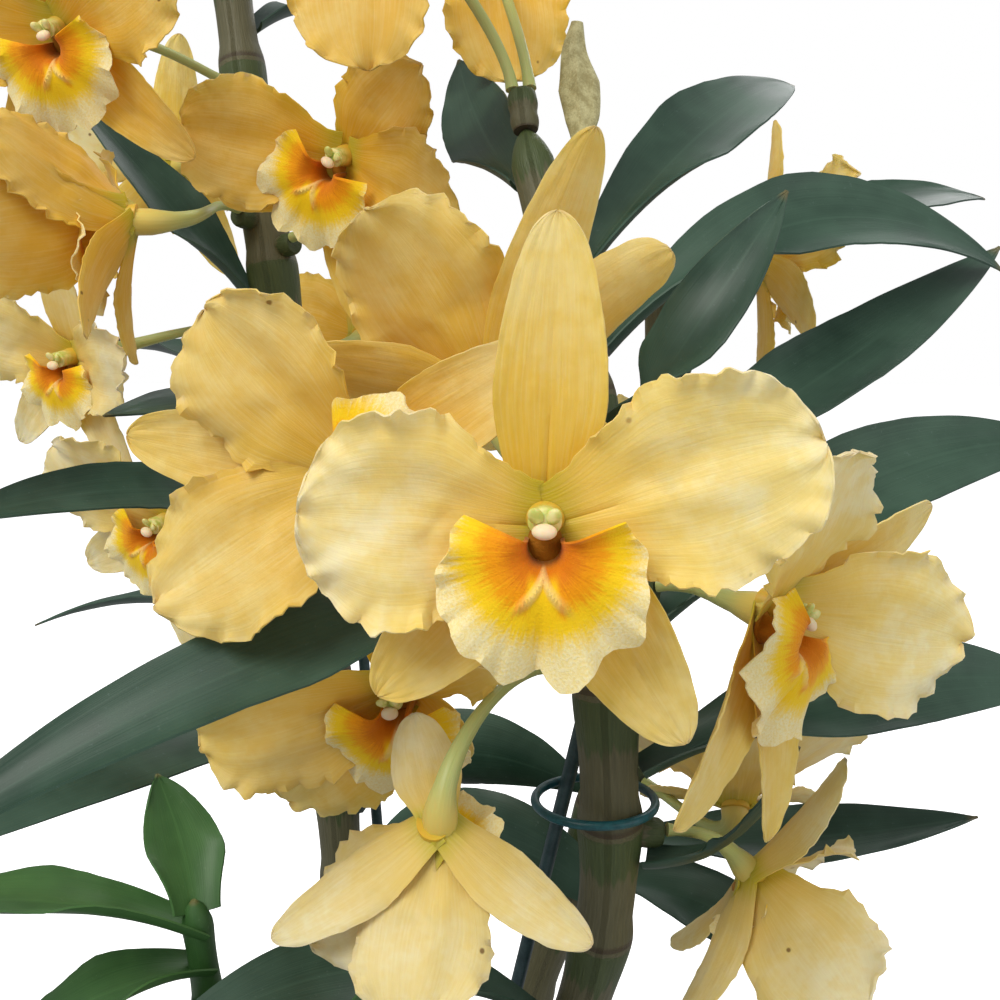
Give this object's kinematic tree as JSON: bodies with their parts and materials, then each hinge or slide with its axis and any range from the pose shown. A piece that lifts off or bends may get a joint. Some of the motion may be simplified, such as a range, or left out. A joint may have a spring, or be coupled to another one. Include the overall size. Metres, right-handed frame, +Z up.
{
  "type": "potted dendrobium orchid",
  "caption": "Nobile-type dendrobium orchid in a round nursery pot: upright jointed canes, strap leaves and large ruffled yellow blooms with orange throats.",
  "frame": {"origin": "middle of the pot's foot, on the surface the pot stands on", "axes": "+Z up along the pot's axis, -Y towards the plant's showiest bloom (its front), +X to the right seen from the front"},
  "size_m": [0.2645, 0.254, 0.4487],
  "materials": {
    "pot": "matt black-grey",
    "bark": "rough, dry",
    "cane": "satin, plant tissue",
    "stick": "satin",
    "clip": "smooth",
    "dry_bud": "papery, dry",
    "leaf": "satin, waxy leaf",
    "bloom": "velvety, plant tissue"
  },
  "bodies": {
    "root": {"pot": "pot", "bark": "bark", "cane_front": "cane", "cane_left": "cane", "cane_right": "cane", "stick_front": "stick", "clip_front": "clip", "stick_left": "stick", "clip_left": "clip", "withered_bud": "dry_bud", "young_growth": "leaf", "leaf_01": "leaf", "leaf_02": "leaf", "leaf_03": "leaf", "leaf_04": "leaf", "leaf_05": "leaf", "leaf_06": "leaf", "leaf_07": "leaf", "leaf_08": "leaf", "leaf_09": "leaf", "leaf_10": "leaf", "leaf_11": "leaf", "leaf_12": "leaf", "leaf_13": "leaf", "leaf_14": "leaf", "leaf_15": "leaf", "leaf_16": "leaf", "leaf_17": "leaf", "leaf_18": "leaf", "leaf_19": "leaf", "leaf_20": "leaf", "leaf_21": "leaf", "leaf_22": "leaf", "leaf_23": "leaf", "leaf_24": "leaf", "leaf_25": "leaf", "leaf_26": "leaf", "bloom_01": "bloom", "bloom_02": "bloom", "bloom_03": "bloom", "bloom_04": "bloom", "bloom_05": "bloom", "bloom_06": "bloom", "bloom_07": "bloom", "bloom_08": "bloom", "bloom_09": "bloom", "bloom_10": "bloom", "bloom_11": "bloom", "bloom_12": "bloom", "bloom_13": "bloom", "bloom_14": "bloom", "bloom_15": "bloom", "bloom_16": "bloom", "bloom_17": "bloom", "bloom_18": "bloom", "bloom_19": "bloom"}
  },
  "joints": []
}
